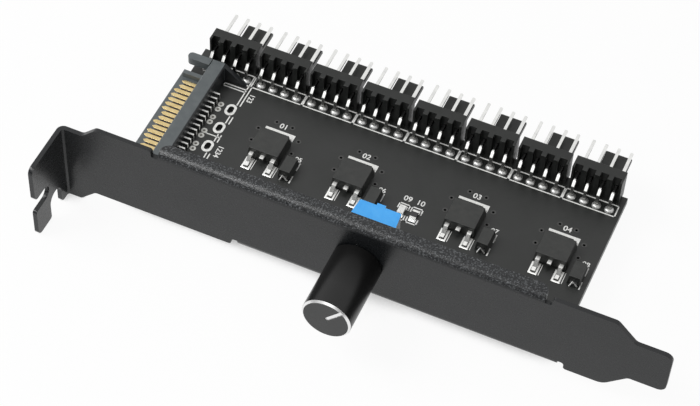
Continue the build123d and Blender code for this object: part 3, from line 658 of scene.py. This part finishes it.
def pillow(mesh, middle, size, height):
    """Solder pad whose top swells from its edge."""
    rows = []
    for share, rise in PAD_PROFILE:
        inset = PAD_RIM * share
        rows.append(oblong(mesh, middle, size[0] / 2 - inset, size[1] / 2 - inset, height * rise))
    for first, second in zip(rows, rows[1:]):
        band(mesh, first, second)
    mesh.faces.new(rows[-1])
    mesh.faces.new(rows[0][::-1])


def bar(mesh, start, end, thick):
    """Thin square bar between two places in millimetres on and above the board."""
    first = on_board(*start)
    last = on_board(*end)
    along = (last - first).normalized()
    side = along.orthogonal().normalized() * thick / 2 * MM
    other = along.cross(side)
    corners = (side + other, side - other, -side - other, other - side)
    rows = [[mesh.verts.new(place + corner) for corner in corners] for place in (first, last)]
    band(mesh, *rows)
    mesh.faces.new(rows[0])
    mesh.faces.new(rows[1])


def skirt(mesh, middle, size):
    """Sloping solder round a flat foot of the given size."""
    rows = []
    for grow, height in ((FILLET_WIDTH, 0.0), (0.0, FILLET_HEIGHT), (-FILLET_WIDTH, 0.0)):
        rows.append(oblong(mesh, middle, size[0] / 2 + grow, size[1] / 2 + grow, height))
    for first, second in zip(rows, rows[1:] + rows[:1]):
        band(mesh, first, second)


def add_number(mesh, text, middle, size, turn=0.0):
    """Plain number in the ink, centred on a place on the board."""
    curve = bpy.data.curves.new("number", "FONT")
    curve.body = text
    curve.size = size * MM
    curve.align_x = "CENTER"
    curve.align_y = "CENTER"
    curve.extrude = INK_HEIGHT * MM / 2
    curve.offset = NUMBER_WEIGHT * MM
    holder = bpy.data.objects.new("number", curve)
    shape = bpy.data.meshes.new_from_object(holder)
    shape.transform(Matrix.Translation(on_board(*middle, INK_HEIGHT / 2)) @ Matrix.Rotation(turn, 4, "Z"))
    mesh.from_mesh(shape)
    bpy.data.objects.remove(holder)
    bpy.data.curves.remove(curve)
    bpy.data.meshes.remove(shape)


def middle_of(node):
    """Middle of a node in board millimetres."""
    low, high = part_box(node)
    return to_board((low + high) / 2)


def header_span(number):
    """Left and right ends of a fan header in board millimetres."""
    low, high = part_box(f"fan_header_{number}")
    return to_board(low)[0], to_board(high)[0]


def pin_row():
    """Distance of the pins' legs from the board's front edge."""
    low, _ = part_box("fan_header_pins_1")
    return to_board(low)[1] + PIN_HALF


def pin_places(number):
    """Middles of a header's legs in board millimetres."""
    low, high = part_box(f"fan_header_pins_{number}")
    first = to_board(low)[0] + PIN_HALF
    last = to_board(high)[0] - PIN_HALF
    return [(first + (last - first) * i / (PIN_COUNT - 1), pin_row()) for i in range(PIN_COUNT)]


def control_places():
    """Middles of the turning control's terminals in board millimetres."""
    low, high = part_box("potentiometer_terminals")
    first = to_board(low)[0] + TERMINAL_HALF
    last = to_board(high)[0] - TERMINAL_HALF
    row = middle_of("potentiometer_terminals")[1]
    return [(x, row) for x in (first, (first + last) / 2, last)]


def print_headers(mesh):
    """Outline round the pins of each header."""
    front = pin_row() - HEADER_LINE_FRONT
    rear = pin_row() + HEADER_LINE_REAR
    for number in range(1, HEADER_COUNT + 1):
        left, right = header_span(number)
        left -= HEADER_LINE_MARGIN
        right += HEADER_LINE_MARGIN
        line(mesh, (left, front), (right, front))
        line(mesh, (left, rear), (right, rear))
        for x in (left, right):
            line(mesh, (x, front), (x, rear))


def print_transistors(mesh):
    """Bar with a corner mark and a number behind each transistor, and a line beside each pad."""
    for number in range(1, TRANSISTOR_COUNT + 1):
        x, y = middle_of(f"transistor_{number}")
        row = y + BAR_ROW
        line(mesh, (x - BAR_LEFT, row), (x + BAR_RIGHT, row), BAR_WIDTH)
        corner = x + BAR_RIGHT + BAR_WIDTH / 2
        mark = [(corner, row), (corner - BAR_CORNER, row), (corner, row - BAR_CORNER)]
        prism(mesh, mark, BAR_CORNER_HEIGHT)
        add_number(mesh, f"{number:02}", (x + NUMBER_PLACE[0], y + NUMBER_PLACE[1]), NUMBER_SIZE)
        for side in (-1, 1):
            edge = x + side * LEAD_PITCH + LEAD_PAD_WIDTH / 2 + LEAD_LINE_OFFSET
            near = y - LEAD_PAD_ROW - LEAD_PAD_LENGTH / 2 + LEAD_LINE_INSET
            far = y - LEAD_PAD_ROW + LEAD_PAD_LENGTH / 2 - LEAD_LINE_INSET
            line(mesh, (edge, near), (edge, far), LEAD_LINE)


def print_diodes(mesh):
    """Broken line beside each diode and its number."""
    for number in range(1, TRANSISTOR_COUNT + 1):
        x, y = middle_of(f"diode_{number}")
        for start, end in (DIODE_LINE_FAR, DIODE_LINE_NEAR):
            line(mesh, (x + DIODE_LINE, y + start), (x + DIODE_LINE, y + end))
        label = f"{number + TRANSISTOR_COUNT:02}"
        add_number(mesh, label, (x + DIODE_NUMBER[0], y + DIODE_NUMBER[1]), DIODE_NUMBER_SIZE)


def print_chips(mesh):
    """Corner brackets and numbers round the lamp and the resistor."""
    for label, node in (("09", "lamp_chip"), ("10", "resistor_chip")):
        x, y = middle_of(node)
        for end in (-1, 1):
            row = y + end * CHIP_FRAME_LONG
            line(mesh, (x - CHIP_FRAME_WIDE, row), (x + CHIP_FRAME_WIDE, row))
            for side in (-1, 1):
                edge = x + side * CHIP_FRAME_WIDE
                line(mesh, (edge, row), (edge, row - end * CHIP_FRAME_LEG))
        add_number(mesh, label, (x, y + CHIP_NUMBER_ROW), NUMBER_SIZE)


def print_spare(mesh):
    """Outline of the unfitted connector, broken where its pads stand."""
    stops = [SPARE_LINE_ENDS[0]]
    for y in SPARE_YS:
        reach = SPARE_OUTER[1] / 2 + SPARE_GAP
        stops += [y - reach, y + reach]
    stops.append(SPARE_LINE_ENDS[1])
    for start, end in zip(stops[::2], stops[1::2]):
        if end > start:
            for x in SPARE_LINES:
                line(mesh, (x, start), (x, end))
    for row in SPARE_CROSS_ROWS:
        line(mesh, (SPARE_CROSS_X[0], row), (SPARE_CROSS_X[1], row))
    line(mesh, *[(SPARE_CROSS_X[0], row) for row in SPARE_CROSS_ROWS])
    line(mesh, *SPARE_TEE)
    for number, place in SPARE_NUMBERS:
        add_number(mesh, number, place, SPARE_NUMBER_SIZE, -math.pi / 2)


def make_print(material):
    """All the white print on the board."""
    mesh = bmesh.new()
    print_headers(mesh)
    print_transistors(mesh)
    print_diodes(mesh)
    print_chips(mesh)
    print_spare(mesh)
    make_piece("board_print", mesh, material)


def make_joints(material):
    """Solder domes round the pins, above and below the board, and below the turning control."""
    dome = [(JOINT_RADIUS, 0.0)]
    for step in range(JOINT_STEPS + 1):
        turn = math.pi / 2 * step / JOINT_STEPS
        radius = JOINT_NECK + (JOINT_RADIUS - JOINT_NECK) * math.cos(turn)
        dome.append((radius, PAD_HEIGHT + JOINT_HEIGHT * math.sin(turn)))
    over = bmesh.new()
    under = bmesh.new()
    spots = []
    for number in range(1, HEADER_COUNT + 1):
        spots += pin_places(number)
    for x, y in spots:
        lathe(over, on_board(x, y), dome)
    for x, y in spots + control_places():
        foot = on_board(x, y)
        foot.z = BOARD_LOW.z
        lathe(under, foot, dome, -1)
    make_piece("pin_solder", over, material).data.shade_smooth()
    make_piece("pin_solder_below", under, material).data.shade_smooth()


def make_pads(material):
    """Solder pads under the leads of the transistors and chips, and the solder at the diodes."""
    mesh = bmesh.new()
    for number in range(1, TRANSISTOR_COUNT + 1):
        x, y = middle_of(f"transistor_{number}")
        for side in (-1, 1):
            place = (x + side * LEAD_PITCH, y - LEAD_PAD_ROW)
            pillow(mesh, place, (LEAD_PAD_WIDTH, LEAD_PAD_LENGTH), LEAD_PAD_HEIGHT)
        diode_marks(mesh, number)
    for node in ("lamp_chip", "resistor_chip"):
        x, y = middle_of(node)
        for end in (-1, 1):
            place = (x, y + end * CHIP_PAD_ROW)
            pillow(mesh, place, (CHIP_PAD_WIDTH, CHIP_PAD_LENGTH), CHIP_PAD_HEIGHT)
    make_piece("lead_pads", mesh, material)


def diode_marks(mesh, number):
    """Solder run out in a V from the leads at both ends of a diode."""
    low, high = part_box(f"diode_leads_{number}")
    x, _ = middle_of(f"diode_leads_{number}")
    for end, out in ((to_board(low)[1], -1), (to_board(high)[1], 1)):
        apex = (x + DIODE_MARK_APEX[0], end, DIODE_MARK_APEX[1])
        for across, along, rise in DIODE_MARK_FEET:
            bar(mesh, apex, (x + across, end + out * along, rise), DIODE_MARK_LINE)


def make_fillets(material):
    """Dark solder fillets round the feet of the transistors' leads, their dark colour a painted shade."""
    mesh = bmesh.new()
    for number in range(1, TRANSISTOR_COUNT + 1):
        low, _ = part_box(f"transistor_leads_{number}")
        x, _ = middle_of(f"transistor_{number}")
        row = to_board(low)[1] + LEAD_FOOT_LENGTH / 2
        for side in (-1, 1):
            skirt(mesh, (x + side * LEAD_PITCH, row), (LEAD_FOOT_WIDTH, LEAD_FOOT_LENGTH))
    make_piece("lead_fillets", mesh, material)


def make_spare_pads(material):
    """Tinned rings of the unfitted connector's holes."""
    mesh = bmesh.new()
    for y in SPARE_YS:
        ring(mesh, (SPARE_X, y), SPARE_OUTER, SPARE_INNER, PAD_HEIGHT)
    make_piece("spare_pads", mesh, material)


def make_vias(name, spots, radius, ring_material, hole_material):
    """Rings with a dark hole at the given places on the board."""
    rings = bmesh.new()
    holes = bmesh.new()
    for x, y in spots:
        ring(rings, (x, y), (2 * radius,) * 2, (2 * VIA_HOLE,) * 2, VIA_RING_HEIGHT, VIA_RING_SEGMENTS)
        disc = [(VIA_HOLE, 0.0), (VIA_HOLE, VIA_HOLE_HEIGHT)]
        lathe(holes, on_board(x, y), disc, 1, VIA_HOLE_SEGMENTS)
    make_piece(f"{name}_rings", rings, ring_material)
    make_piece(f"{name}_holes", holes, hole_material)


def transistor_vias():
    """Places of the vias round the transistors."""
    middles = [middle_of(f"transistor_{number}") for number in range(1, TRANSISTOR_COUNT + 1)]
    return [(x + dx, y + dy) for x, y in middles for dx, dy in VIA_PLACES]


def plug_vias():
    """Places of the paired vias beside the power plug."""
    return [(PLUG_VIA_X, row + side * PLUG_VIA_SPLIT) for row in PLUG_VIA_ROWS for side in (-1, 1)]


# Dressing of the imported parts
def soften(node, width, angle):
    """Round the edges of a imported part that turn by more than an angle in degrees."""
    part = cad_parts[node]
    weld = part.modifiers.new("weld", "WELD")
    weld.merge_threshold = WELD_REACH * MM
    bevel = part.modifiers.new("bevel", "BEVEL")
    bevel.width = width * MM
    bevel.segments = BEVEL_SEGMENTS
    bevel.limit_method = "ANGLE"
    bevel.angle_limit = math.radians(angle)
    bevel.harden_normals = True


def dress(material, *nodes, edge=0.0, angle=35):
    """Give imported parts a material, and soften their edges."""
    for node in nodes:
        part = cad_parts[node]
        part.data.materials.clear()
        part.data.materials.append(material)
        if edge > 0:
            soften(node, edge, angle)


def each(name, count):
    """Numbered node names."""
    return [f"{name}_{i + 1}" for i in range(count)]


def dress_parts(tin):
    """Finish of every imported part."""
    dress(powder_coat(), "bracket", edge=0.14)
    dress(solder_mask(), "circuit_board")
    black = moulded("header_plastic", (0.008, 0.009, 0.008), (0.013, 0.014, 0.013), 0.4)
    principled(black).inputs["Specular IOR Level"].default_value = 0.4
    dress(black, *each("fan_header", HEADER_COUNT), edge=0.08)
    dress(pin_plate(), *each("fan_header_pins", HEADER_COUNT), edge=0.2, angle=60)
    epoxy = moulded("epoxy", (0.014, 0.015, 0.014), (0.025, 0.026, 0.024), 0.5, 0.15, 0.02)
    dress(epoxy, *each("transistor", TRANSISTOR_COUNT), edge=0.12)
    dress(epoxy, *each("diode", TRANSISTOR_COUNT), edge=0.1)
    dress(lead_plate(), *each("transistor_leads", TRANSISTOR_COUNT), edge=0.06)
    strap = plated("strap_tin", (0.1, 0.1, 0.1), (0.2, 0.2, 0.2), 0.3)
    dress(strap, *each("diode_leads", TRANSISTOR_COUNT), edge=0.04)
    dress(slate_plastic(), "power_plug_housing", edge=0.1)
    dress(contact_plate(), "power_plug_contacts", edge=0.06)
    blue = moulded("blue_plastic", (0.06, 0.4, 0.93), (0.085, 0.45, 0.97), 0.38)
    # Painted highlight: the faces that look along X are painted near white.
    recolour(blue, sideways(blue, SIDE_FACING), SIDE_PAINTED_LIGHT_COLOUR)
    dress(blue, "potentiometer_body", edge=0.12)
    steel = plated("steel", (0.5, 0.5, 0.5), (0.72, 0.72, 0.7), 0.35)
    dress(steel, "potentiometer_frame", "potentiometer_shaft", "board_screws", edge=0.06)
    dress(tin, "potentiometer_terminals", "lamp_chip_caps", "resistor_chip_caps", edge=0.02)
    dress(moulded("track_plate", (0.08, 0.05, 0.03), (0.12, 0.08, 0.05), 0.5), "potentiometer_track")
    dress(plated("spring_bronze", (0.6, 0.44, 0.2), (0.74, 0.58, 0.3), 0.3), "potentiometer_wiper")
    dress(knob_finish(), "knob")
    lamp = moulded("lamp_white", (0.8, 0.8, 0.78), (0.9, 0.9, 0.87), 0.3)
    dress(lamp, "lamp_chip", edge=0.06)
    resistor = moulded("resistor_black", (0.02, 0.02, 0.022), (0.03, 0.03, 0.032), 0.35)
    dress(resistor, "resistor_chip", edge=0.04)


# Studio
def area_light(name, place, aim, wide, high, watts):
    """Soft oblong lamp."""
    lamp = bpy.data.lights.new(name, "AREA")
    lamp.shape = "RECTANGLE"
    lamp.energy = watts
    lamp.size = wide
    lamp.size_y = high
    holder = bpy.data.objects.new(name, lamp)
    holder.location = place
    holder.rotation_euler = (Vector(aim) - Vector(place)).to_track_quat("-Z", "Y").to_euler()
    bpy.context.scene.collection.objects.link(holder)


def make_floor():
    """Pale floor that shows white and keeps a soft shadow."""
    material = finish("floor", (0.85, 0.85, 0.85), 0.9)
    path = new_node(material, "ShaderNodeLightPath")
    seen = maths(material, "MAXIMUM", path.outputs["Is Camera Ray"], path.outputs["Is Glossy Ray"])
    cover = new_node(material, "ShaderNodeAmbientOcclusion", Distance=FLOOR_COVER)
    open_floor = fade(material, cover.outputs["AO"], FLOOR_COVER_DARK, FLOOR_COVER_OPEN, high=FLOOR_GLOW)
    glow = new_node(material, "ShaderNodeEmission", Color=(1, 1, 1, 1), Strength=1.0)
    mix = new_node(material, "ShaderNodeMixShader")
    join(material, both(material, seen, open_floor), mix.inputs["Fac"])
    join(material, principled(material).outputs["BSDF"], mix.inputs[1])
    join(material, glow.outputs["Emission"], mix.inputs[2])
    join(material, mix.outputs["Shader"], material.node_tree.nodes["Material Output"].inputs["Surface"])
    mesh = bmesh.new()
    bmesh.ops.create_grid(mesh, x_segments=1, y_segments=1, size=FLOOR_HALF)
    data = bpy.data.meshes.new("floor")
    mesh.to_mesh(data)
    mesh.free()
    data.materials.append(material)
    floor = bpy.data.objects.new("floor", data)
    floor.location = (*FLOOR_MIDDLE, CAD_BOX[0][2])
    bpy.context.scene.collection.objects.link(floor)


def make_world():
    """White room for the eye and for gloss, darker at the front, and a plain level of soft light."""
    world = bpy.data.worlds.new("studio")
    world.use_nodes = True
    place = new_node(world, "ShaderNodeTexCoord")
    split = new_node(world, "ShaderNodeSeparateXYZ")
    join(world, place.outputs["Generated"], split.inputs["Vector"])
    rise = maths(world, "MULTIPLY_ADD", split.outputs["Z"], ROOM_TILT, split.outputs["Y"])
    room = new_node(world, "ShaderNodeMapRange", From_Min=ROOM_FRONT, From_Max=ROOM_BACK, To_Min=ROOM_DARK)
    room.interpolation_type = "SMOOTHSTEP"
    join(world, rise, room.inputs["Value"])
    path = new_node(world, "ShaderNodeLightPath")
    gloss = new_node(world, "ShaderNodeMix", A=SOFT_LIGHT)
    join(world, path.outputs["Is Glossy Ray"], gloss.inputs["Factor"])
    join(world, room.outputs["Result"], gloss.inputs["B"])
    eye = new_node(world, "ShaderNodeMix", B=1.0)
    join(world, path.outputs["Is Camera Ray"], eye.inputs["Factor"])
    join(world, gloss.outputs["Result"], eye.inputs["A"])
    sky = world.node_tree.nodes["Background"]
    sky.inputs["Color"].default_value = (1, 1, 1, 1)
    join(world, eye.outputs["Result"], sky.inputs["Strength"])
    bpy.context.scene.world = world


def make_studio():
    """Lamps and camera."""
    scene = bpy.context.scene
    scene.view_settings.view_transform = "Standard"
    middle = (CAD_BOX[0] + CAD_BOX[1]) / 2
    for name, place, wide, high, watts in LAMPS:
        area_light(name, place, middle, wide, high, watts)
    camera = bpy.data.cameras.new("camera")
    camera.sensor_width = SENSOR
    camera.lens = SENSOR * FOCAL_PIXELS / PHOTO_WIDTH
    camera.clip_start = CAMERA_NEAR
    holder = bpy.data.objects.new("camera", camera)
    aim = (CAMERA_AIM - CAMERA_PLACE).to_track_quat("-Z", "Y").to_matrix().to_4x4()
    holder.matrix_world = Matrix.Translation(CAMERA_PLACE) @ aim @ Matrix.Rotation(CAMERA_ROLL, 4, "Z")
    scene.collection.objects.link(holder)
    scene.camera = holder


def build():
    """Dress the parts, add what the board carries, and set the studio."""
    tin = plated("tin", (0.62, 0.62, 0.6), (0.86, 0.86, 0.84), 0.28)
    dress_parts(tin)
    make_print(ink())
    solder = plated("solder", (0.42, 0.42, 0.41), (0.6, 0.6, 0.59), 0.3, 0.5, 0.006)
    principled(solder).inputs["Metallic"].default_value = SOLDER_METAL
    make_joints(solder)
    make_pads(plated("pad_tin", (0.84, 0.84, 0.82), (0.93, 0.93, 0.91), 0.45))
    # Painted shade: the fillets are near black.
    make_fillets(plated("fillet_painted_shade", (0.03, 0.03, 0.03), (0.06, 0.06, 0.06), 0.3))
    make_spare_pads(tin)
    ring_material = moulded("via_lacquer", (0.035, 0.035, 0.034), (0.05, 0.05, 0.048), 0.4)
    # Painted shade: a black disc without sheen stands for the inside of each via hole.
    hole_material = finish("via_hole", (0.002, 0.002, 0.002), 1.0, Specular_IOR_Level=0.0)
    make_vias("via", transistor_vias(), VIA_RADIUS, ring_material, hole_material)
    dull_tin = plated("dull_tin", (0.4, 0.4, 0.38), (0.66, 0.66, 0.63), 0.4)
    plug_hole = finish("plug_via_hole", (0.13, 0.12, 0.105), 0.5)
    make_vias("plug_via", plug_vias(), PLUG_VIA_RADIUS, dull_tin, plug_hole)
    make_floor()
    make_world()
    make_studio()


build()
